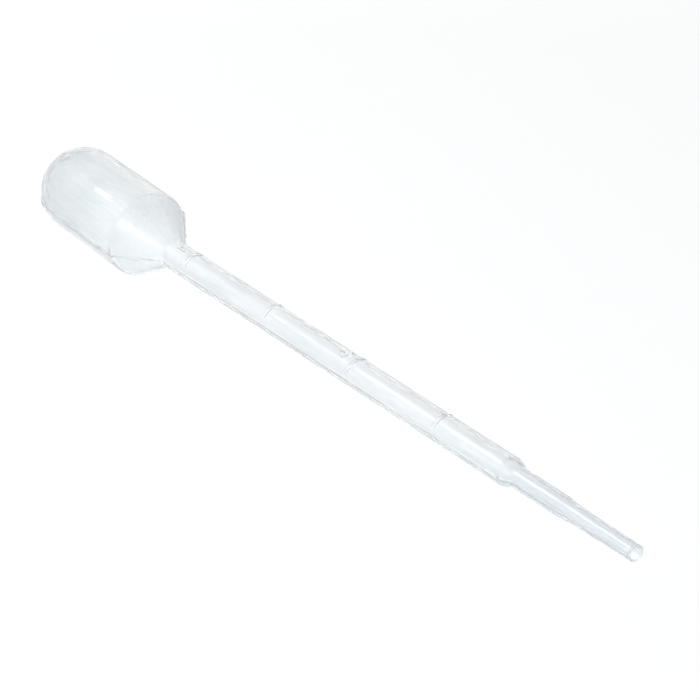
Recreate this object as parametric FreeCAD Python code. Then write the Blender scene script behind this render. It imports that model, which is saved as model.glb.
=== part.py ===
import FreeCAD, Part
import math
import os

# One-piece blown plastic dropper pipette: a squeeze bulb with a domed end, a conical shoulder,
# a graduated stem and a tip drawn out in two steps. Lengths are in millimetres, angles in degrees.
# It is built along +X from the bulb's end to the tip, then laid down as it rests on a table.

# Bulb: it flares a little from the domed end to the shoulder
bulbLength = 25.4
bulbEndRadius = 6.9
bulbRadius = 7.1
bulbWall = 0.45
bulbEndWall = 0.9
bulbEdgeRound = 0.7

# Conical shoulder from the bulb to the stem
shoulderLength = 7.7
neckRound = 1.8

# The soft neck bends a little, so the bulb leans up off the stem's line
neckLength = 1.0
leanLength = 1.5
leanAngle = 2.4

# Stem: it swells slightly before the first step
stemLength = 86.2
stemRadius = 2.375
stemWall = 0.6
swellLength = 8.0
swellRadius = 2.44

# First step and the upper tip tube
upperStepLength = 1.9
upperStepRound = 1.6
upperTubeLength = 10.6
upperTubeRadius = 1.69
upperTubeWall = 0.52

# Second step and the tapered lower tip tube, which has a straight bore
lowerStepLength = 2.8
lowerStepRound = 4.0
lowerTubeLength = 14.2
lowerTubeRadius = 1.45
tipRadius = 1.33
tipBoreRadius = 1.0

# Mould parting line: a low ridge down both sides, heavier on the bulb
bulbSeamHeight = 0.3
stemSeamHeight = 0.12
seamWidth = 0.3

# Raised graduation marks part of the way around the stem, counted from the tip
markCount = 4
firstMarkFromTip = 45.5
markPitch = 22.1
markWidth = 0.8
markHeight = 0.18
markSpan = 100.0

# Raised numerals, standing on the bulb's side of the second and the last mark
numeralHeight = 2.0
numeralStroke = 0.32
numeralRaise = 0.18
numeralGap = 1.7

# The graduations are turned this far from straight up as the pipette lies
rollAngle = 17.0

neckX = bulbLength + shoulderLength
leanX = neckX + neckLength
leanRadius = leanLength / math.radians(leanAngle)
stemEndX = leanX + stemLength
upperTubeX = stemEndX + upperStepLength
lowerStepX = upperTubeX + upperTubeLength
lowerTubeX = lowerStepX + lowerStepLength
tipX = lowerTubeX + lowerTubeLength

origin = FreeCAD.Vector(0, 0, 0)
xAxis = FreeCAD.Vector(1, 0, 0)
yAxis = FreeCAD.Vector(0, 1, 0)
zAxis = FreeCAD.Vector(0, 0, 1)
leanCentre = FreeCAD.Vector(leanX, 0, leanRadius)


# Outline edges through (x, radius, rounding) corners, with a tangent arc at each rounded corner;
# a rounding of None makes a dome, an arc that takes up the whole run before its corner
def outlineEdges(corners):
    points = [FreeCAD.Vector(x, radius, 0) for x, radius, rounding in corners]
    edges = []
    start = points[0]
    for index in range(1, len(corners) - 1):
        corner = points[index]
        rounding = corners[index][2]
        if rounding == 0:
            edges.append(Part.LineSegment(start, corner).toShape())
            start = corner
            continue
        back = (points[index - 1] - corner).normalize()
        ahead = (points[index + 1] - corner).normalize()
        halfAngle = back.getAngle(ahead) / 2
        arcStart = start
        if rounding is None:
            rounding = start.distanceToPoint(corner) * math.tan(halfAngle)
        else:
            arcStart = corner + back * (rounding / math.tan(halfAngle))
            edges.append(Part.LineSegment(start, arcStart).toShape())
        arcMiddle = corner + (back + ahead).normalize() * (rounding / math.sin(halfAngle) - rounding)
        arcEnd = corner + ahead * corner.distanceToPoint(arcStart)
        edges.append(Part.Arc(arcStart, arcMiddle, arcEnd).toShape())
        start = arcEnd
    edges.append(Part.LineSegment(start, points[-1]).toShape())
    return edges


# Flat face between an outline that starts on the pipette's axis and the axis itself
def halfSection(corners):
    edges = outlineEdges(corners)
    first = FreeCAD.Vector(corners[0][0], corners[0][1], 0)
    last = FreeCAD.Vector(corners[-1][0], corners[-1][1], 0)
    lastOnAxis = FreeCAD.Vector(last.x, 0, 0)
    edges.append(Part.LineSegment(last, lastOnAxis).toShape())
    edges.append(Part.LineSegment(lastOnAxis, first).toShape())
    return Part.Face(Part.Wire(edges))


# Corners outside the bulb and neck, raised for the parting line or not
def bulbCorners(bulbRaise=0.0, stemRaise=0.0):
    return [
        (-bulbRaise, 0, 0),
        (-bulbRaise, bulbEndRadius + bulbRaise, None),
        (bulbLength, bulbRadius + bulbRaise, bulbEdgeRound),
        (neckX, stemRadius + stemRaise, neckRound),
        (leanX, stemRadius + stemRaise, 0),
    ]


# Corners outside the stem and tip, raised for the parting line or not
def stemCorners(stemRaise=0.0):
    return [
        (leanX, 0, 0),
        (leanX, stemRadius + stemRaise, 0),
        (stemEndX - swellLength, stemRadius + stemRaise, 0),
        (stemEndX, swellRadius + stemRaise, upperStepRound),
        (upperTubeX, upperTubeRadius + stemRaise, upperStepRound),
        (lowerStepX, upperTubeRadius + stemRaise, lowerStepRound),
        (lowerTubeX, lowerTubeRadius + stemRaise, lowerStepRound),
        (tipX, tipRadius + stemRaise, 0),
    ]


# Corners of the hollow in the bulb and neck
def bulbHollowCorners():
    return [
        (bulbEndWall, 0, 0),
        (bulbEndWall, bulbEndRadius - bulbWall, None),
        (bulbLength, bulbRadius - bulbWall, 0),
        (neckX, stemRadius - stemWall, neckRound),
        (leanX, stemRadius - stemWall, 0),
    ]


# Corners of the hollow in the stem and tip, running out past the open end
def stemHollowCorners():
    stemBoreRadius = stemRadius - stemWall
    upperBoreRadius = upperTubeRadius - upperTubeWall
    return [
        (leanX, 0, 0),
        (leanX, stemBoreRadius, 0),
        (stemEndX, stemBoreRadius, upperStepRound),
        (upperTubeX, upperBoreRadius, upperStepRound),
        (lowerStepX, upperBoreRadius, lowerStepRound),
        (lowerTubeX, tipBoreRadius, 0),
        (tipX + 1, tipBoreRadius, 0),
    ]


# A half section turned about the axis
def turned(corners):
    return halfSection(corners).revolve(origin, xAxis, 360)


# A half section thickened into a plate on both sides of the axis, where the mould parts
def plate(corners):
    side = halfSection(corners).extrude(zAxis * seamWidth)
    side.translate(zAxis * (-seamWidth / 2))
    return rolled(side.fuse(side.mirror(origin, yAxis)))


# A piece made with the graduations on top, turned about the axis to where they lie
def rolled(piece):
    piece.rotate(origin, xAxis, rollAngle)
    return piece


# The bulb's piece swung up about the lean's centre, joined by a short bend to the stem's
def joinedByBend(bulbPiece, bendFace, stemPiece):
    bulbPiece.rotate(leanCentre, yAxis, leanAngle)
    bend = bendFace.revolve(leanCentre, yAxis, leanAngle)
    return stemPiece.fuse([bend, bulbPiece])


# Round run of bulb, bend and stem, for the outside or the hollow
def roundRun(bulbSide, stemSide, radius):
    circle = Part.Circle(FreeCAD.Vector(leanX, 0, 0), xAxis, radius).toShape()
    return joinedByBend(turned(bulbSide), Part.Face(Part.Wire(circle)), turned(stemSide))


# Flat plate through the whole axis, standing out from the wall as the parting ridge
def seamPlate():
    halfHeight = stemRadius + stemSeamHeight
    corner = FreeCAD.Vector(leanX, -halfHeight, -seamWidth / 2)
    bendFace = rolled(Part.makePlane(seamWidth, 2 * halfHeight, corner, xAxis, zAxis))
    bulbPlate = plate(bulbCorners(bulbSeamHeight, stemSeamHeight))
    return joinedByBend(bulbPlate, bendFace, plate(stemCorners(stemSeamHeight)))


# Distance along the axis of a graduation mark, the first being the nearest to the tip
def markX(index):
    return tipX - firstMarkFromTip - index * markPitch


# Raised mark with a rounded crest, centred on top of the stem
def graduationMark(index):
    foot = stemRadius - stemWall / 2
    left = FreeCAD.Vector(markX(index) - markWidth / 2, stemRadius, 0)
    crest = FreeCAD.Vector(markX(index), stemRadius + markHeight, 0)
    right = FreeCAD.Vector(markX(index) + markWidth / 2, stemRadius, 0)
    leftFoot = FreeCAD.Vector(left.x, foot, 0)
    rightFoot = FreeCAD.Vector(right.x, foot, 0)
    edges = [
        Part.Arc(left, crest, right).toShape(),
        Part.LineSegment(right, rightFoot).toShape(),
        Part.LineSegment(rightFoot, leftFoot).toShape(),
        Part.LineSegment(leftFoot, left).toShape(),
    ]
    mark = Part.Face(Part.Wire(edges)).revolve(origin, xAxis, markSpan)
    mark.rotate(origin, xAxis, 90 - markSpan / 2)
    return rolled(mark)


# Straight stroke of a numeral between two corners, standing up from the axis
def bar(left, bottom, right, top):
    corner = FreeCAD.Vector(left, bottom, 0)
    return Part.makeBox(right - left, top - bottom, 2 * stemRadius, corner)


# Numeral one: an upright with a short flag near its head
def numeralOne():
    half = numeralStroke / 2
    upright = bar(-half, 0, half, numeralHeight)
    flagTop = numeralHeight - numeralStroke
    flag = bar(-half - numeralStroke, flagTop - numeralStroke, half, flagTop)
    return [upright, flag]


# Numeral five after a point: a round bowl under an upright and a head bar
def numeralPointFive():
    bowlRadius = numeralHeight / 3
    centre = FreeCAD.Vector(0, bowlRadius, 0)
    bowl = Part.makeCylinder(bowlRadius, 2 * stemRadius, centre, zAxis, 270)
    bowl = bowl.cut(Part.makeCylinder(bowlRadius - numeralStroke, 2 * stemRadius, centre, zAxis))
    bowl.rotate(centre, zAxis, -150)
    left = -bowlRadius * 0.8
    upright = bar(left, bowlRadius * 1.4, left + numeralStroke, numeralHeight)
    head = bar(left, numeralHeight - numeralStroke, bowlRadius, numeralHeight)
    pointRadius = numeralStroke * 0.6
    pointCentre = FreeCAD.Vector(-bowlRadius - 3 * pointRadius, pointRadius, 0)
    point = Part.makeCylinder(pointRadius, 2 * stemRadius, pointCentre, zAxis)
    return [bowl, upright, head, point]


# Strokes stood on the stem's top beside a mark, their heads towards the bulb, trimmed to height
def raisedNumeral(strokes, index):
    foot = FreeCAD.Vector(markX(index) - markWidth / 2 - numeralGap, 0, 0)
    turn = FreeCAD.Rotation(yAxis, -xAxis, zAxis)
    skin = Part.makeCylinder(stemRadius + numeralRaise, tipX, origin, xAxis)
    solids = []
    for stroke in strokes:
        stroke.Placement = FreeCAD.Placement(foot, turn).multiply(stroke.Placement)
        solids.append(rolled(stroke.common(skin)))
    return solids


# The whole pipette with its stem along +X
def levelPipette():
    solid = roundRun(bulbCorners(), stemCorners(), stemRadius).fuse(seamPlate())
    solid = solid.fuse([graduationMark(index) for index in range(markCount)])
    solid = solid.fuse(raisedNumeral(numeralPointFive(), 1))
    solid = solid.fuse(raisedNumeral(numeralOne(), markCount - 1))
    hollow = roundRun(bulbHollowCorners(), stemHollowCorners(), stemRadius - stemWall)
    return solid.cut(hollow).removeSplitter().Solids[0]


# Tipped to rest on the bulb's rim and the tip, over the middle of the table
def laidDown(pipette):
    rimReach = shoulderLength + neckLength + leanLength / 2
    rimRise = rimReach * math.sin(math.radians(leanAngle))
    restRun = tipX - bulbLength + leanLength
    restAngle = math.degrees(math.atan2(bulbRadius - rimRise - tipRadius, restRun))
    pipette.rotate(origin, yAxis, restAngle)
    box = pipette.optimalBoundingBox(False, False)
    pipette.translate(FreeCAD.Vector(-box.Center.x, -box.Center.y, -box.ZMin))
    return pipette


os.makedirs("parts", exist_ok=True)
pipette = laidDown(levelPipette())
pipette.exportStep("parts/pipette.step")
box = pipette.optimalBoundingBox(False, False)
print("pipette", pipette.ShapeType, "valid", pipette.isValid(), "faces", len(pipette.Faces))
print("size %.2f x %.2f x %.2f, volume %.1f" % (box.XLength, box.YLength, box.ZLength, pipette.Volume))
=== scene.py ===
import bpy
import math
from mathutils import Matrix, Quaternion, Vector


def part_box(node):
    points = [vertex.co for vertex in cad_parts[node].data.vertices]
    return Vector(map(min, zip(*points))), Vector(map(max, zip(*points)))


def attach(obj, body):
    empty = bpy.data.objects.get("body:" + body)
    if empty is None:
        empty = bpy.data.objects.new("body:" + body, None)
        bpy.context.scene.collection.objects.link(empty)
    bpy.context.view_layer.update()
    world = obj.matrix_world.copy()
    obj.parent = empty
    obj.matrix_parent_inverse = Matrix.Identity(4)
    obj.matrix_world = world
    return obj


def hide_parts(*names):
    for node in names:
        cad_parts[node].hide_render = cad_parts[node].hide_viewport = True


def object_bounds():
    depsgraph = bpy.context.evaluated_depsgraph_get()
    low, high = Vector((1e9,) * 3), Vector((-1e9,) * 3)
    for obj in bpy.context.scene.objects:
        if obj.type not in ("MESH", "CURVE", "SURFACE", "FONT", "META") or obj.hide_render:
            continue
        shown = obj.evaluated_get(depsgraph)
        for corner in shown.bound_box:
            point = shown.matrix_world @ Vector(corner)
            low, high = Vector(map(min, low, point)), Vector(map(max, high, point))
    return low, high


# Plastic dropper pipette, blown in one piece, lying on a pale table.
# The body is built along +X in millimetre values, its graduations on top, then laid into the CAD box.

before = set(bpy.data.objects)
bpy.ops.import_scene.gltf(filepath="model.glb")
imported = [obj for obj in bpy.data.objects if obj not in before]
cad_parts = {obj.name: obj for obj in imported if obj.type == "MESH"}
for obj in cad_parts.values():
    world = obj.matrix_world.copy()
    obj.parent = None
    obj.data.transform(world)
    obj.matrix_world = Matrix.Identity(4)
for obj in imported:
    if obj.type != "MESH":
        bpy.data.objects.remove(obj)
cadLow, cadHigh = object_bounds()

mm = 0.001
axis = (1, 0, 0)


def clearSelection():
    if bpy.context.mode != "OBJECT":
        bpy.ops.object.mode_set(mode="OBJECT")
    bpy.ops.object.select_all(action="DESELECT")


# Leaves the object in edit mode with the vertices selected whose place passes the test
def pick(piece, test):
    bpy.ops.object.mode_set(mode="OBJECT")
    mesh = piece.data
    mesh.polygons.foreach_set("select", [False] * len(mesh.polygons))
    mesh.edges.foreach_set("select", [False] * len(mesh.edges))
    mesh.vertices.foreach_set("select", [bool(test(v.co)) for v in mesh.vertices])
    bpy.ops.object.mode_set(mode="EDIT")


body = {
    "bulbLength": 25.4, "bulbEndRadius": 6.9, "bulbRadius": 7.1, "bulbWall": 0.45, "bulbEndWall": 0.9,
    "bulbEdgeRound": 2.0, "shoulderLength": 7.7, "neckRound": 1.0, "neckLength": 1.0,
    "leanLength": 1.5, "leanAngle": 2.4, "leanParts": 6,
    "stemLength": 86.2, "stemRadius": 2.375, "stemWall": 0.6, "swellLength": 8.0, "swellRadius": 2.44,
    "upperStepLength": 1.9, "upperStepRound": 1.6, "upperTubeLength": 10.6, "upperTubeRadius": 1.69,
    "upperTubeWall": 0.52, "lowerStepLength": 2.8, "lowerStepRound": 4.0, "lowerTubeLength": 14.2,
    "lowerTubeRadius": 1.45, "tipRadius": 1.33, "tipBoreRadius": 1.0, "tipEdgeRound": 0.14,
    "rollAngle": 17.0, "smoothAngle": 50,
}
seam = {
    "halfWidth": 0.14, "footWidth": 0.27, "footShare": 0.45, "bulbHeight": 0.3, "stemHeight": 0.12,
    "fineStep": 1.0, "fineCount": 4, "step": 2.0,
}
marks = {
    "count": 4, "firstFromTip": 45.5, "pitch": 22.1, "width": 0.8, "height": 0.18,
    "nearRing": 0.12, "farRing": 0.4, "ringWidth": 0.03,
}
numerals = {
    "height": 2.0, "stroke": 0.32, "raise": 0.16, "gap": 1.7, "grid": 0.1, "margin": 0.2, "reach": 6,
    "bowlCut": 0.7, "bowlLeft": 0.8, "uprightFoot": 1.4, "pointGap": 1.8, "pointSize": 0.6,
}
# Distances under which two places count as one: along the outline, between rings and on the mesh
samePoint, sameRing, sameSpot = 1e-4, 0.02, 1e-7

neckX = body["bulbLength"] + body["shoulderLength"] - body["leanLength"]
bendX = neckX + body["neckLength"]
leanX = bendX + body["leanLength"]
stemEndX = leanX + body["stemLength"]
upperTubeX = stemEndX + body["upperStepLength"]
lowerStepX = upperTubeX + body["upperTubeLength"]
lowerTubeX = lowerStepX + body["lowerStepLength"]
tipX = lowerTubeX + body["lowerTubeLength"]
poleX = -body["leanLength"]
rimX = poleX + body["bulbLength"]
markPlaces = [tipX - marks["firstFromTip"] - i * marks["pitch"] for i in range(marks["count"])]


# Points of an outline through (x, radius, rounding) corners, its arcs tangent to both runs;
# a rounding of None is a dome that takes the whole run before its corner
def outline(corners, arcStep=7.0):
    spots = [Vector(c[:2]) for c in corners]
    points = [spots[0]]
    for i in range(1, len(corners) - 1):
        corner, rounding = spots[i], corners[i][2]
        if rounding == 0:
            points.append(corner)
            continue
        back = (spots[i - 1] - corner).normalized()
        ahead = (spots[i + 1] - corner).normalized()
        half = back.angle(ahead) / 2
        reach = (points[-1] - corner).length if rounding is None else rounding / math.tan(half)
        radius = reach * math.tan(half)
        centre = corner + (back + ahead).normalized() * (radius / math.sin(half))
        first, last = corner + back * reach - centre, corner + ahead * reach - centre
        turn = first.angle_signed(last)
        steps = max(2, math.ceil(abs(math.degrees(turn)) / arcStep))
        for k in range(steps + 1):
            a = -turn * k / steps
            spot = centre + Vector((first.x * math.cos(a) - first.y * math.sin(a),
                                    first.x * math.sin(a) + first.y * math.cos(a)))
            if (spot - points[-1]).length > samePoint:
                points.append(spot)
    points.append(spots[-1])
    return points


# The outline with a point added at each station along its straight runs
def cutAt(points, stations):
    out = [points[0]]
    for start, end in zip(points, points[1:]):
        run = end.x - start.x
        inside = sorted(s for s in stations if start.x + sameRing < s < end.x - sameRing)
        for s in inside:
            out.append(start + (end - start) * ((s - start.x) / run))
        out.append(end)
    return out


# Height of a mark at each distance from its middle, as a share of the full height: two crests
crest = {0.0: 0.3, 0.13: 0.45, 0.26: 1.0, 0.34: 0.75}


def markRings():
    half = marks["width"] / 2
    offsets = list(crest) + [half, half + marks["nearRing"], half + marks["farRing"]]
    return [m + side * o for m in markPlaces for o in offsets for side in (-1, 1)]


outside = outline([
    (poleX, 0, 0), (poleX, body["bulbEndRadius"], None), (rimX, body["bulbRadius"], body["bulbEdgeRound"]),
    (neckX, body["stemRadius"], body["neckRound"]), (bendX, body["stemRadius"], 0),
    (leanX, body["stemRadius"], 0), (stemEndX - body["swellLength"], body["stemRadius"], 0),
    (stemEndX, body["swellRadius"], body["upperStepRound"]),
    (upperTubeX, body["upperTubeRadius"], body["upperStepRound"]),
    (lowerStepX, body["upperTubeRadius"], body["lowerStepRound"]),
    (lowerTubeX, body["lowerTubeRadius"], body["lowerStepRound"]),
    (tipX, body["tipRadius"], body["tipEdgeRound"]), (tipX, body["tipBoreRadius"], body["tipEdgeRound"]),
    (lowerTubeX, body["tipBoreRadius"], 0),
])
stemBore = body["stemRadius"] - body["stemWall"]
upperBore = body["upperTubeRadius"] - body["upperTubeWall"]
hollow = outline([
    (poleX + body["bulbEndWall"], 0, 0),
    (poleX + body["bulbEndWall"], body["bulbEndRadius"] - body["bulbWall"], None),
    (rimX, body["bulbRadius"] - body["bulbWall"], body["bulbEdgeRound"] - body["bulbWall"]),
    (neckX, stemBore, body["neckRound"]), (bendX, stemBore, 0), (leanX, stemBore, 0),
    (stemEndX, stemBore, body["upperStepRound"]), (upperTubeX, upperBore, body["upperStepRound"]),
    (lowerStepX, upperBore, body["lowerStepRound"]), (lowerTubeX, body["tipBoreRadius"], 0),
])[:-1]

rings = {
    "stemStart": 1.0, "stemStep": 1.4, "stemCount": 62,
    "bulbStart": 8.0, "bulbStep": 0.9, "bulbCount": 28, "clear": 0.35,
}
bendRings = [bendX + body["leanLength"] * k / body["leanParts"] for k in range(1, body["leanParts"])]
numeralRings = []
for m in (markPlaces[1], markPlaces[-1]):
    foot = m - marks["width"] / 2 - numerals["gap"]
    count = round((numerals["height"] + 2 * numerals["margin"]) / numerals["grid"])
    numeralRings += [foot + numerals["margin"] - k * numerals["grid"] for k in range(count + 1)]
evenRings = [leanX + rings["stemStart"] + k * rings["stemStep"] for k in range(rings["stemCount"])]
bulbRings = [poleX + rings["bulbStart"] + k * rings["bulbStep"] for k in range(rings["bulbCount"])]
crowded = sorted(markRings() + numeralRings + bendRings)
free = [s for s in evenRings + bulbRings if min(abs(s - c) for c in crowded) > rings["clear"]]
outside = cutAt(outside, crowded + free)
hollow = cutAt(hollow, bendRings + [s for s in evenRings[::2] + bulbRings])
lip = max(range(len(outside)), key=lambda i: outside[i].x)
profile = [(p.x * mm, p.y * mm) for p in outside] + [(p.x * mm, p.y * mm) for p in reversed(hollow)]
print("outline points", len(profile))

clearSelection()
bpy.ops.mesh.primitive_plane_add(size=mm)
pipette = bpy.context.object
pipette.name = pipette.data.name = "pipetteBody"
bpy.ops.object.mode_set(mode="EDIT")
bpy.ops.mesh.select_mode(type="VERT")
bpy.ops.mesh.merge(type="CENTER")
bpy.ops.transform.translate(value=(profile[0][0], profile[0][1], 0))
for (x0, r0), (x1, r1) in zip(profile, profile[1:]):
    bpy.ops.mesh.extrude_region_move(TRANSFORM_OT_translate={"value": (x1 - x0, r1 - r0, 0)})
print("profile drawn", len(pipette.data.vertices))

bpy.ops.mesh.select_all(action="SELECT")
half = seam["fineStep"] * seam["fineCount"]
wide = 180 - 2 * half
for turn, step in ((half, seam["fineStep"]), (wide, seam["step"]), (2 * half, seam["fineStep"]),
                   (wide, seam["step"]), (half, seam["fineStep"])):
    bpy.ops.mesh.spin(steps=round(turn / step), angle=math.radians(turn), center=(0, 0, 0), axis=axis)
bpy.ops.mesh.select_all(action="SELECT")
bpy.ops.mesh.remove_doubles(threshold=1.5e-6)
bpy.ops.mesh.normals_make_consistent(inside=False)
bpy.ops.object.mode_set(mode="OBJECT")
print("spun", len(pipette.data.vertices), len(pipette.data.polygons))


def radiusOf(co):
    return math.hypot(co.y, co.z)


# True on the outer skin, which is whatever lies less than this depth under the outline
skinDepth = 0.15


def outer(co):
    x, r = co.x / mm, radiusOf(co) / mm
    for a, b in zip(outside[:lip], outside[1:lip + 1]):
        if a.x - 1e-3 <= x <= b.x + 1e-3:
            share = (x - a.x) / max(b.x - a.x, 1e-9)
            return r > a.y + (b.y - a.y) * min(max(share, 0), 1) - skinDepth
    return False


outerFlags = {}
for v in pipette.data.vertices:
    outerFlags[v.index] = outer(v.co)
print("outer points", sum(outerFlags.values()))


# As pick, on the outer skin alone
def pickOuter(test):
    bpy.ops.object.mode_set(mode="OBJECT")
    mesh = pipette.data
    mesh.polygons.foreach_set("select", [False] * len(mesh.polygons))
    mesh.edges.foreach_set("select", [False] * len(mesh.edges))
    mesh.vertices.foreach_set("select", [outerFlags[v.index] and bool(test(v.co)) for v in mesh.vertices])
    bpy.ops.object.mode_set(mode="EDIT")


def swellAboutAxis(factor):
    bpy.ops.transform.resize(value=(1, factor, factor), center_override=(0, 0, 0))


def onSeam(co):
    return abs(co.z) < seam["halfWidth"] * mm


def besideSeam(co):
    return seam["halfWidth"] * mm <= abs(co.z) < seam["footWidth"] * mm


domeCentreX = (poleX + body["bulbEndRadius"]) * mm
ridgeParts = ((onSeam, 1.0), (besideSeam, seam["footShare"]))
for near, share in ridgeParts:
    domeFactor = 1 + share * seam["bulbHeight"] / body["bulbEndRadius"]
    pickOuter(lambda co: near(co) and co.x < domeCentreX and radiusOf(co) > 0.1 * mm)
    bpy.ops.transform.resize(value=(domeFactor,) * 3, center_override=(domeCentreX, 0, 0))

# The ridge then runs in stretches: start, end, radius of the body there and height of the ridge
shoulderMid, shoulderEnd = rimX + 4, neckX - 1
stepMid, lowerMid = stemEndX + 0.9, lowerStepX + 1.4
stretches = [
    (domeCentreX / mm, rimX, body["bulbRadius"], seam["bulbHeight"]),
    (rimX, shoulderMid, 6.0, 0.265),
    (shoulderMid, shoulderEnd, 3.9, 0.185),
    (shoulderEnd, stepMid, body["stemRadius"], seam["stemHeight"]),
    (stepMid, lowerMid, body["upperTubeRadius"], seam["stemHeight"]),
    (lowerMid, tipX - 0.2, 1.4, seam["stemHeight"]),
]
for start, end, radius, height in stretches:
    for near, share in ridgeParts:
        pickOuter(lambda co: near(co) and start * mm <= co.x < end * mm and radiusOf(co) > 0.4 * mm)
        swellAboutAxis(1 + share * height / radius)
print("seam raised")


def angleFromTop(co):
    return abs(math.degrees(math.atan2(co.y, co.z)))


# Degrees from the top, from and to, and the share of the height there: the ends of a mark fall away
markEnds = ((-1, 47, 1.0), (47, 49.5, 0.6))
for offset, share in crest.items():
    for low, high, part in markEnds:
        pickOuter(lambda co: low < angleFromTop(co) <= high
                  and min(abs(abs(co.x / mm - m) - offset) for m in markPlaces) < marks["ringWidth"])
        swellAboutAxis(1 + marks["height"] * share * part / body["stemRadius"])
print("marks raised")


# Places on the unrolled stem: u along the numeral's height towards the bulb, v across it, in millimetres
def numeralPlace(co, m):
    foot = m - marks["width"] / 2 - numerals["gap"]
    return foot - co.x / mm, math.atan2(co.y, co.z) * body["stemRadius"]


def inBar(u, v, left, bottom, right, top):
    return left <= v <= right and bottom <= u <= top


def inOne(u, v):
    stroke, height = numerals["stroke"], numerals["height"]
    flagTop = height - stroke
    upright = inBar(u, v, -stroke / 2, 0, stroke / 2, height)
    return upright or inBar(u, v, -1.5 * stroke, flagTop - stroke, 0, flagTop)


def inPointFive(u, v):
    stroke, height = numerals["stroke"], numerals["height"]
    bowl = height / 3
    away = math.hypot(v, u - bowl)
    belly = bowl - stroke <= away <= bowl and not (v < 0 and u > bowl * numerals["bowlCut"])
    left = -bowl * numerals["bowlLeft"]
    upright = inBar(u, v, left, bowl * numerals["uprightFoot"], left + stroke, height)
    head = inBar(u, v, left, height - stroke, bowl, height)
    pointRadius = numerals["pointSize"] * stroke
    point = math.hypot(v + bowl + numerals["pointGap"] * stroke, u - pointRadius) < pointRadius
    return belly or upright or head or point


for m, shape in ((markPlaces[-1], inOne), (markPlaces[1], inPointFive)):
    def onNumeral(co):
        if co.z < 0 or abs(co.x / mm - m) > numerals["reach"]:
            return False
        u, v = numeralPlace(co, m)
        return shape(u, -v)
    pickOuter(onNumeral)
    swellAboutAxis(1 + numerals["raise"] / body["stemRadius"])
print("numerals raised")

bpy.ops.object.mode_set(mode="OBJECT")


# Blown walls are never even: each skin takes its own soft swell, sizes and depths in millimetres
waviness = {
    "outerSize": 7.0, "outerDepth": 0.06, "stemShare": 0.2, "innerSize": 6.0, "innerDepth": 0.03,
    "domeSize": 2.4, "domeDepth": 0.4, "domeReach": 5.0,
}


def makeWavy(name, members, size, depth):
    group = pipette.vertex_groups.new(name=name)
    group.add(members, 1.0, "REPLACE")
    onStem = [i for i in members if pipette.data.vertices[i].co.x > neckX * mm]
    if onStem:
        group.add(onStem, waviness["stemShare"], "REPLACE")
    clouds = bpy.data.textures.new(name, "CLOUDS")
    clouds.noise_scale = size * mm
    clouds.noise_depth = 1
    wave = pipette.modifiers.new(name, "DISPLACE")
    wave.texture = clouds
    wave.texture_coords = "LOCAL"
    wave.vertex_group = name
    wave.strength = depth * mm
    wave.mid_level = 0.5
    bpy.ops.object.modifier_apply(modifier=name)


# A soft bulge: its place along the axis, degrees from the top towards -Y, reach and rise
def raiseBulge(x, around, reach, rise):
    outwards = Vector((0, -math.sin(math.radians(around)), math.cos(math.radians(around))))
    spot = Vector((x * mm, 0, 0)) + outwards * (body["bulbRadius"] if x < rimX else body["stemRadius"]) * mm
    skin = (v.co for v in pipette.data.vertices if outerFlags[v.index])
    nearest = min(skin, key=lambda co: (co - spot).length).copy()
    pickOuter(lambda co: (co - nearest).length < sameSpot)
    bpy.ops.transform.translate(value=outwards * rise * mm, use_proportional_edit=True,
                                proportional_edit_falloff="SMOOTH", proportional_size=reach * mm)


# Bulges that catch the light: two on the bulb, then one on the tip side of each mark
bulges = [(15.2, 21.0, 3.5, 0.36), (9.0, 44.0, 2.8, 0.2)]
bulges += [(m + 1.6, 24.0, 1.8, 0.15) for m in markPlaces]
for bulge in bulges:
    raiseBulge(*bulge)
hairline = {"around": 33.0, "halfWidth": 1.1, "start": 10.8, "end": 21.4, "height": 0.04}
pickOuter(lambda co: hairline["start"] < co.x / mm < hairline["end"] and co.z > 0
          and abs(math.degrees(math.atan2(-co.y, co.z)) - hairline["around"]) < hairline["halfWidth"])
swellAboutAxis(1 + hairline["height"] / body["bulbRadius"])
bpy.ops.object.mode_set(mode="OBJECT")
print("bulges raised", len(bulges))
outerPoints = [i for i, isOuter in outerFlags.items() if isOuter]
innerPoints = [i for i, isOuter in outerFlags.items() if not isOuter]
makeWavy("outerSkin", outerPoints, waviness["outerSize"], waviness["outerDepth"])
makeWavy("innerSkin", innerPoints, waviness["innerSize"], waviness["innerDepth"])
domePoints = [i for i in innerPoints if pipette.data.vertices[i].co.x < waviness["domeReach"] * mm]
makeWavy("domeInside", domePoints, waviness["domeSize"], waviness["domeDepth"])
print("walls made uneven")

# Rolled, leaned at the neck in small turns, laid down and set into the CAD box
bpy.ops.object.mode_set(mode="EDIT")
bpy.ops.mesh.select_all(action="SELECT")


def turnSelected(angle, about, centre):
    bpy.ops.transform.rotate(value=-math.radians(angle), orient_axis=about, orient_type="GLOBAL",
                             center_override=centre)


turnSelected(body["rollAngle"], "X", (0, 0, 0))
part = body["leanLength"] / body["leanParts"]
for k in range(body["leanParts"]):
    station = bendX + part * (k + 0.5)
    pick(pipette, lambda co: co.x < station * mm)
    turnSelected(body["leanAngle"] / body["leanParts"], "Y", (station * mm, 0, 0))
rimReach = body["shoulderLength"] + body["neckLength"] + body["leanLength"] / 2
rimRise = rimReach * math.sin(math.radians(body["leanAngle"]))
restRun = tipX - body["bulbLength"] + body["leanLength"]
restAngle = math.degrees(math.atan2(body["bulbRadius"] - rimRise - body["tipRadius"], restRun))
bpy.ops.mesh.select_all(action="SELECT")
turnSelected(restAngle, "Y", (0, 0, 0))
bpy.ops.object.mode_set(mode="OBJECT")


def meshBox(piece):
    low = [min(v.co[i] for v in piece.data.vertices) for i in range(3)]
    high = [max(v.co[i] for v in piece.data.vertices) for i in range(3)]
    return low, high


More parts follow.
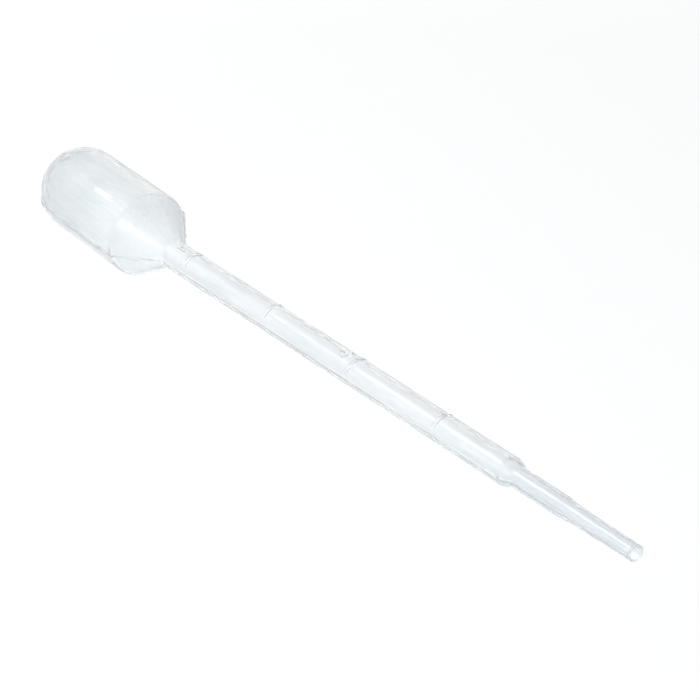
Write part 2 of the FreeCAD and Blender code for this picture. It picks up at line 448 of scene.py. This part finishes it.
low, high = meshBox(pipette)
boxLow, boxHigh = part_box("pipette")
fit = [min(1, (boxHigh[i] - boxLow[i]) / (high[i] - low[i])) for i in range(3)]
shift = [(boxLow[i] + boxHigh[i] - low[i] - high[i]) / 2 for i in range(3)]
print("size made", [round((b - a) / mm, 3) for a, b in zip(low, high)])
bpy.ops.object.mode_set(mode="EDIT")
bpy.ops.mesh.select_all(action="SELECT")
bpy.ops.transform.resize(value=fit, center_override=[(a + b) / 2 for a, b in zip(low, high)])
bpy.ops.transform.translate(value=shift)
bpy.ops.mesh.normals_make_consistent(inside=False)
bpy.ops.object.mode_set(mode="OBJECT")
bpy.ops.object.shade_smooth_by_angle(angle=math.radians(body["smoothAngle"]))
print("laid down at", [round(s / mm, 3) for s in shift])

# Colours, clearness and roughness of the plastic; its reaches along X are in metres
plastic = {
    "tint": (0.63, 0.695, 0.7, 1), "milk": (0.765, 0.75, 0.745, 1),
    "drawn": (0.705, 0.72, 0.735, 1), "drawnHaze": (0.84, 0.87, 0.885, 1),
    "drawnFrom": 0.036, "drawnTo": 0.056, "thickTo": -0.062, "thinFrom": -0.049,
    "haze": (0.965, 0.975, 0.985, 1), "milkiness": (0.87, 0.875, 0.88, 1),
    "clear": 0.86, "clearSpread": 0.025, "edgeClear": 0.62, "insideClear": 0.85,
    "roughLow": 0.13, "roughHigh": 0.2, "insideRough": 0.55, "cutDepth": 0.0004, "cutClear": 0.4,
    "bend": 1.34, "gloss": 0.85, "streakHeight": 0.00001, "streakStrength": 0.3,
    "streakScale": (260, 2200, 2200), "streakDetail": 4.0, "cloudScale": 140.0, "cloudDetail": 2.0,
    "streakShare": 0.6, "patchFrom": 0.34, "patchTo": 0.66, "thickShift": -0.02, "thinShift": 0.08,
    "edgeBlend": 0.5, "edgeFrom": 0.45, "shadowTint": (0.965, 0.975, 0.98, 1),
    "depthColour": (0.5, 0.66, 0.72, 1), "depthDensity": 50.0,
}


def newNode(tree, kind, place, **settings):
    n = tree.nodes.new(kind)
    n.location = place
    for key, value in settings.items():
        setattr(n, key, value)
    return n


def makePlastic():
    material = bpy.data.materials.new("blownPolyethylene")
    material.use_nodes = True
    tree = material.node_tree
    tree.nodes.clear()
    link = tree.links.new
    out = newNode(tree, "ShaderNodeOutputMaterial", (900, 0))
    shader = newNode(tree, "ShaderNodeBsdfPrincipled", (400, 0))
    shader.inputs["IOR"].default_value = plastic["bend"]
    shader.inputs["Specular IOR Level"].default_value = plastic["gloss"]
    place = newNode(tree, "ShaderNodeTexCoord", (-1400, 0))
    streaks = newNode(tree, "ShaderNodeMapping", (-1200, 100))
    streaks.inputs["Scale"].default_value = plastic["streakScale"]
    link(place.outputs["Object"], streaks.inputs["Vector"])
    flow = newNode(tree, "ShaderNodeTexNoise", (-1000, 100))
    flow.inputs["Scale"].default_value = 1.0
    flow.inputs["Detail"].default_value = plastic["streakDetail"]
    link(streaks.outputs["Vector"], flow.inputs["Vector"])
    cloud = newNode(tree, "ShaderNodeTexNoise", (-1000, -200))
    cloud.inputs["Scale"].default_value = plastic["cloudScale"]
    cloud.inputs["Detail"].default_value = plastic["cloudDetail"]
    link(place.outputs["Object"], cloud.inputs["Vector"])
    colour = newNode(tree, "ShaderNodeMix", (0, 200), data_type="RGBA")
    colour.inputs[6].default_value = plastic["tint"]
    colour.inputs[7].default_value = plastic["milk"]
    patches = newNode(tree, "ShaderNodeMapRange", (-400, 300), interpolation_type="SMOOTHSTEP")
    patches.inputs["From Min"].default_value = plastic["patchFrom"]
    patches.inputs["From Max"].default_value = plastic["patchTo"]
    blotches = newNode(tree, "ShaderNodeMix", (-600, 300), data_type="FLOAT")
    blotches.inputs[0].default_value = plastic["streakShare"]
    link(cloud.outputs["Fac"], blotches.inputs[2])
    link(flow.outputs["Fac"], blotches.inputs[3])
    thin = newNode(tree, "ShaderNodeMapRange", (-800, 450), interpolation_type="SMOOTHSTEP")
    thin.inputs["From Min"].default_value = plastic["thickTo"]
    thin.inputs["From Max"].default_value = plastic["thinFrom"]
    thin.inputs["To Min"].default_value = plastic["thickShift"]
    thin.inputs["To Max"].default_value = plastic["thinShift"]
    lighter = newNode(tree, "ShaderNodeMath", (-500, 400), operation="ADD")
    link(blotches.outputs[0], lighter.inputs[0])
    link(thin.outputs["Result"], lighter.inputs[1])
    link(lighter.outputs[0], patches.inputs["Value"])
    link(patches.outputs["Result"], colour.inputs[0])
    along = newNode(tree, "ShaderNodeSeparateXYZ", (-1200, -900))
    link(place.outputs["Object"], along.inputs[0])
    drawn = newNode(tree, "ShaderNodeMapRange", (-1000, 500), interpolation_type="SMOOTHSTEP")
    drawn.inputs["From Min"].default_value = plastic["drawnFrom"]
    drawn.inputs["From Max"].default_value = plastic["drawnTo"]
    link(along.outputs["X"], drawn.inputs["Value"])
    link(along.outputs["X"], thin.inputs["Value"])
    deeper = newNode(tree, "ShaderNodeMix", (100, 350), data_type="RGBA")
    link(drawn.outputs["Result"], deeper.inputs[0])
    link(colour.outputs[2], deeper.inputs[6])
    deeper.inputs[7].default_value = plastic["drawn"]
    rough = newNode(tree, "ShaderNodeMapRange", (0, -50))
    rough.inputs["To Min"].default_value = plastic["roughLow"]
    rough.inputs["To Max"].default_value = plastic["roughHigh"]
    link(cloud.outputs["Fac"], rough.inputs["Value"])
    clear = newNode(tree, "ShaderNodeMapRange", (0, -300))
    clear.inputs["To Min"].default_value = plastic["clear"] - plastic["clearSpread"]
    clear.inputs["To Max"].default_value = plastic["clear"] + plastic["clearSpread"]
    link(flow.outputs["Fac"], clear.inputs["Value"])
    facing = newNode(tree, "ShaderNodeLayerWeight", (-400, -300))
    facing.inputs["Blend"].default_value = plastic["edgeBlend"]
    edge = newNode(tree, "ShaderNodeMapRange", (-200, -300), interpolation_type="SMOOTHSTEP")
    edge.inputs["From Min"].default_value = plastic["edgeFrom"]
    edge.inputs["From Max"].default_value = 1.0
    edge.inputs["To Min"].default_value = 1.0
    edge.inputs["To Max"].default_value = plastic["edgeClear"]
    link(facing.outputs["Facing"], edge.inputs["Value"])
    share = newNode(tree, "ShaderNodeMath", (200, -300), operation="MULTIPLY")
    link(clear.outputs["Result"], share.inputs[0])
    link(edge.outputs["Result"], share.inputs[1])
    inside = newNode(tree, "ShaderNodeNewGeometry", (-400, -700)).outputs["Backfacing"]
    bySide = newNode(tree, "ShaderNodeMix", (300, -300), data_type="FLOAT")
    link(inside, bySide.inputs[0])
    link(share.outputs[0], bySide.inputs[2])
    bySide.inputs[3].default_value = plastic["insideClear"]
    cut = newNode(tree, "ShaderNodeMapRange", (-1000, -900), interpolation_type="SMOOTHSTEP")
    cut.inputs["From Min"].default_value = cadHigh.x - plastic["cutDepth"]
    cut.inputs["From Max"].default_value = cadHigh.x - plastic["cutDepth"] / 3
    link(along.outputs["X"], cut.inputs["Value"])
    frosted = newNode(tree, "ShaderNodeMix", (350, -400), data_type="FLOAT")
    link(cut.outputs["Result"], frosted.inputs[0])
    link(bySide.outputs[0], frosted.inputs[2])
    frosted.inputs[3].default_value = plastic["cutClear"]
    shader.inputs["Transmission Weight"].default_value = 1.0
    milky = newNode(tree, "ShaderNodeBsdfDiffuse", (400, 200))
    milky.inputs["Color"].default_value = plastic["milkiness"]
    milkyMix = newNode(tree, "ShaderNodeMixShader", (600, 100))
    link(frosted.outputs[0], milkyMix.inputs[0])
    link(milky.outputs[0], milkyMix.inputs[1])
    link(shader.outputs[0], milkyMix.inputs[2])
    roughBySide = newNode(tree, "ShaderNodeMix", (300, -50), data_type="FLOAT")
    link(inside, roughBySide.inputs[0])
    link(rough.outputs["Result"], roughBySide.inputs[2])
    roughBySide.inputs[3].default_value = plastic["insideRough"]
    link(roughBySide.outputs[0], shader.inputs["Roughness"])
    skin = newNode(tree, "ShaderNodeMix", (200, 200), data_type="RGBA")
    link(inside, skin.inputs[0])
    link(deeper.outputs[2], skin.inputs[6])
    hazier = newNode(tree, "ShaderNodeMix", (100, 50), data_type="RGBA")
    link(drawn.outputs["Result"], hazier.inputs[0])
    hazier.inputs[6].default_value = plastic["haze"]
    hazier.inputs[7].default_value = plastic["drawnHaze"]
    link(hazier.outputs[2], skin.inputs[7])
    link(skin.outputs[2], shader.inputs["Base Color"])
    bump = newNode(tree, "ShaderNodeBump", (0, -550))
    bump.inputs["Strength"].default_value = plastic["streakStrength"]
    bump.inputs["Distance"].default_value = plastic["streakHeight"]
    link(flow.outputs["Fac"], bump.inputs["Height"])
    link(bump.outputs["Normal"], shader.inputs["Normal"])
    link(bump.outputs["Normal"], milky.inputs["Normal"])
    through = newNode(tree, "ShaderNodeBsdfTransparent", (400, -400))
    through.inputs["Color"].default_value = plastic["shadowTint"]
    path = newNode(tree, "ShaderNodeLightPath", (400, 400))
    mix = newNode(tree, "ShaderNodeMixShader", (700, 0))
    link(path.outputs["Is Shadow Ray"], mix.inputs[0])
    link(milkyMix.outputs[0], mix.inputs[1])
    link(through.outputs[0], mix.inputs[2])
    link(mix.outputs[0], out.inputs["Surface"])
    depth = newNode(tree, "ShaderNodeVolumeAbsorption", (700, -300))
    depth.inputs["Color"].default_value = plastic["depthColour"]
    depth.inputs["Density"].default_value = plastic["depthDensity"]
    link(depth.outputs[0], out.inputs["Volume"])
    return material


pipette.data.materials.clear()
pipette.data.materials.append(makePlastic())
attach(pipette, "root")
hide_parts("pipette")
print("plastic given")

# Directions are an azimuth round the object, 0 facing its -Y side and 90 its +X side,
# and an elevation, in degrees
studio = {
    "floorSize": 3.0, "floorColour": (0.9, 0.9, 0.9, 1),
    "floorGlow": 0.23, "farGlow": 0.6, "glowNear": 0.15, "glowFar": 0.9,
    "skyLevel": 0.44, "seenLevel": 1.0,
    "horizon": (0.92, 0.94, 0.95, 1), "zenith": (0.82, 0.84, 0.86, 1),
    "warmSide": (1.0, 0.955, 0.94, 1), "warmAzimuth": -130.0, "warmElevation": 10, "warmFrom": 0.45,
    "coolSide": (0.74, 0.8, 0.83, 1), "coolElevation": 25, "coolFrom": 0.2, "full": 0.95,
}
lamps = {
    "sideSoftbox": {"azimuth": -85.0, "elevation": 40.0,
        "distance": 0.9, "size": 0.9, "power": 0.2, "colour": (1, 1, 1)},
    "sparkSoftbox": {"azimuth": -60.0, "elevation": 45.0,
        "distance": 0.9, "size": 0.24, "power": 2.0, "colour": (1, 1, 1)},
    "frontSoftbox": {"azimuth": 18.0, "elevation": 27.0,
        "distance": 0.9, "size": 0.36, "power": 2.2, "colour": (1, 1, 1)},
    "fillSoftbox": {"azimuth": 40.0, "elevation": 45.0,
        "distance": 0.9, "size": 0.9, "power": 1.5, "colour": (1, 1, 1)},
    "rimSoftbox": {"azimuth": -130.0, "elevation": 15.0,
        "distance": 0.9, "size": 0.5, "power": 0.45, "colour": (1.0, 0.92, 0.89)},
    "backSoftbox": {"azimuth": 165.0, "elevation": 55.0,
        "distance": 1.0, "size": 0.6, "power": 0.9, "colour": (1.0, 0.97, 0.96)},
}


def direction(azimuth, elevation):
    a, e = math.radians(azimuth), math.radians(elevation)
    return Vector((math.sin(a) * math.cos(e), -math.cos(a) * math.cos(e), math.sin(e)))


# One for camera, mirrored and passed rays, and none for the rays that light things
def seenRays(tree, place):
    path = newNode(tree, "ShaderNodeLightPath", place)
    first = newNode(tree, "ShaderNodeMath", (place[0] + 200, place[1]), operation="MAXIMUM")
    second = newNode(tree, "ShaderNodeMath", (place[0] + 400, place[1]), operation="MAXIMUM")
    tree.links.new(path.outputs["Is Camera Ray"], first.inputs[0])
    tree.links.new(path.outputs["Is Glossy Ray"], first.inputs[1])
    tree.links.new(first.outputs[0], second.inputs[0])
    tree.links.new(path.outputs["Is Transmission Ray"], second.inputs[1])
    return second.outputs[0]


def makeFloor():
    clearSelection()
    bpy.ops.mesh.primitive_plane_add(size=studio["floorSize"], location=(0, 0, cadLow.z))
    floor = bpy.context.object
    floor.name = "table"
    material = bpy.data.materials.new("paleTable")
    material.use_nodes = True
    tree = material.node_tree
    tree.nodes.clear()
    link = tree.links.new
    out = newNode(tree, "ShaderNodeOutputMaterial", (600, 0))
    paint = newNode(tree, "ShaderNodeBsdfDiffuse", (0, 0))
    paint.inputs["Color"].default_value = studio["floorColour"]
    glow = newNode(tree, "ShaderNodeEmission", (0, -200))
    glow.inputs["Color"].default_value = (1, 1, 1, 1)
    level = newNode(tree, "ShaderNodeMath", (-100, -200), operation="MULTIPLY")
    away = newNode(tree, "ShaderNodeVectorMath", (-700, -500), operation="LENGTH")
    link(newNode(tree, "ShaderNodeTexCoord", (-900, -500)).outputs["Object"], away.inputs[0])
    makeUp = newNode(tree, "ShaderNodeMapRange", (-500, -500))
    makeUp.inputs["From Min"].default_value = studio["glowNear"]
    makeUp.inputs["From Max"].default_value = studio["glowFar"]
    makeUp.inputs["To Min"].default_value = studio["floorGlow"]
    makeUp.inputs["To Max"].default_value = studio["farGlow"]
    link(away.outputs["Value"], makeUp.inputs["Value"])
    link(makeUp.outputs["Result"], level.inputs[1])
    link(seenRays(tree, (-700, -200)), level.inputs[0])
    link(level.outputs[0], glow.inputs["Strength"])
    both = newNode(tree, "ShaderNodeAddShader", (300, 0))
    link(paint.outputs[0], both.inputs[0])
    link(glow.outputs[0], both.inputs[1])
    link(both.outputs[0], out.inputs["Surface"])
    floor.data.materials.append(material)


def dotWith(tree, vector, way, place):
    dot = newNode(tree, "ShaderNodeVectorMath", place, operation="DOT_PRODUCT")
    tree.links.new(vector, dot.inputs[0])
    dot.inputs[1].default_value = way
    return dot.outputs["Value"]


def blendBy(tree, share, low, high, place):
    mix = newNode(tree, "ShaderNodeMix", place, data_type="RGBA")
    tree.links.new(share, mix.inputs[0])
    for socket, value in ((mix.inputs[6], low), (mix.inputs[7], high)):
        if isinstance(value, tuple):
            socket.default_value = value
        else:
            tree.links.new(value, socket)
    return mix.outputs[2]


def ranged(tree, value, low, high, place, toLow=0.0, toHigh=1.0):
    n = newNode(tree, "ShaderNodeMapRange", place, interpolation_type="SMOOTHSTEP")
    tree.links.new(value, n.inputs["Value"])
    n.inputs["From Min"].default_value = low
    n.inputs["From Max"].default_value = high
    n.inputs["To Min"].default_value = toLow
    n.inputs["To Max"].default_value = toHigh
    return n.outputs["Result"]


def makeWorld():
    world = bpy.data.worlds.new("softStudio")
    bpy.context.scene.world = world
    world.use_nodes = True
    tree = world.node_tree
    tree.nodes.clear()
    out = newNode(tree, "ShaderNodeOutputWorld", (1200, 0))
    background = newNode(tree, "ShaderNodeBackground", (1000, 0))
    way = newNode(tree, "ShaderNodeTexCoord", (-800, 0)).outputs["Generated"]
    up = dotWith(tree, way, (0, 0, 1), (-600, 200))
    height = ranged(tree, up, 0.0, studio["full"], (-400, 200))
    colour = blendBy(tree, height, studio["horizon"], studio["zenith"], (-200, 200))
    warmWay = direction(studio["warmAzimuth"], studio["warmElevation"])
    warm = dotWith(tree, way, warmWay, (-600, 0))
    warmShare = ranged(tree, warm, studio["warmFrom"], studio["full"], (-400, 0))
    colour = blendBy(tree, warmShare, colour, studio["warmSide"], (0, 200))
    coolWay = direction(studio["warmAzimuth"] + 180, studio["coolElevation"])
    cool = dotWith(tree, way, coolWay, (-600, -200))
    coolShare = ranged(tree, cool, studio["coolFrom"], studio["full"], (-400, -200))
    colour = blendBy(tree, coolShare, colour, studio["coolSide"], (200, 200))
    tree.links.new(colour, background.inputs["Color"])
    seen = seenRays(tree, (-600, -500))
    level = ranged(tree, seen, 0, 1, (200, -300), studio["skyLevel"], studio["seenLevel"])
    tree.links.new(level, background.inputs["Strength"])
    tree.links.new(background.outputs[0], out.inputs["Surface"])


def softLamp(name, values, aim):
    towards = direction(values["azimuth"], values["elevation"])
    bpy.ops.object.light_add(type="AREA", location=aim + towards * values["distance"])
    lamp = bpy.context.object
    lamp.name = name
    lamp.data.shape = "DISK"
    lamp.data.size = values["size"]
    lamp.data.energy = values["power"]
    lamp.data.color = values["colour"]
    lamp.rotation_mode = "QUATERNION"
    lamp.rotation_quaternion = towards.to_track_quat("Z", "Y")


makeFloor()
makeWorld()
clearSelection()
for name, values in lamps.items():
    softLamp(name, values, (cadLow + cadHigh) / 2)
print("studio lit")

view = {
    "azimuth": 55.453, "elevation": 23.675, "roll": -0.394, "distance": 0.7517, "lens": 257.26,
    "sensor": 36, "clipStart": 0.01, "aim": (0.00033, 0.00388, 0.00434),
}
back = direction(view["azimuth"], view["elevation"])
bpy.ops.object.camera_add(location=Vector(view["aim"]) + back * view["distance"])
camera = bpy.context.object
camera.data.sensor_width = view["sensor"]
camera.data.lens = view["lens"]
camera.data.clip_start = view["clipStart"]
camera.rotation_mode = "QUATERNION"
camera.rotation_quaternion = back.to_track_quat("Z", "Y") @ Quaternion((0, 0, 1), math.radians(view["roll"]))
bpy.context.scene.camera = camera
bpy.context.scene.view_settings.view_transform = "Standard"
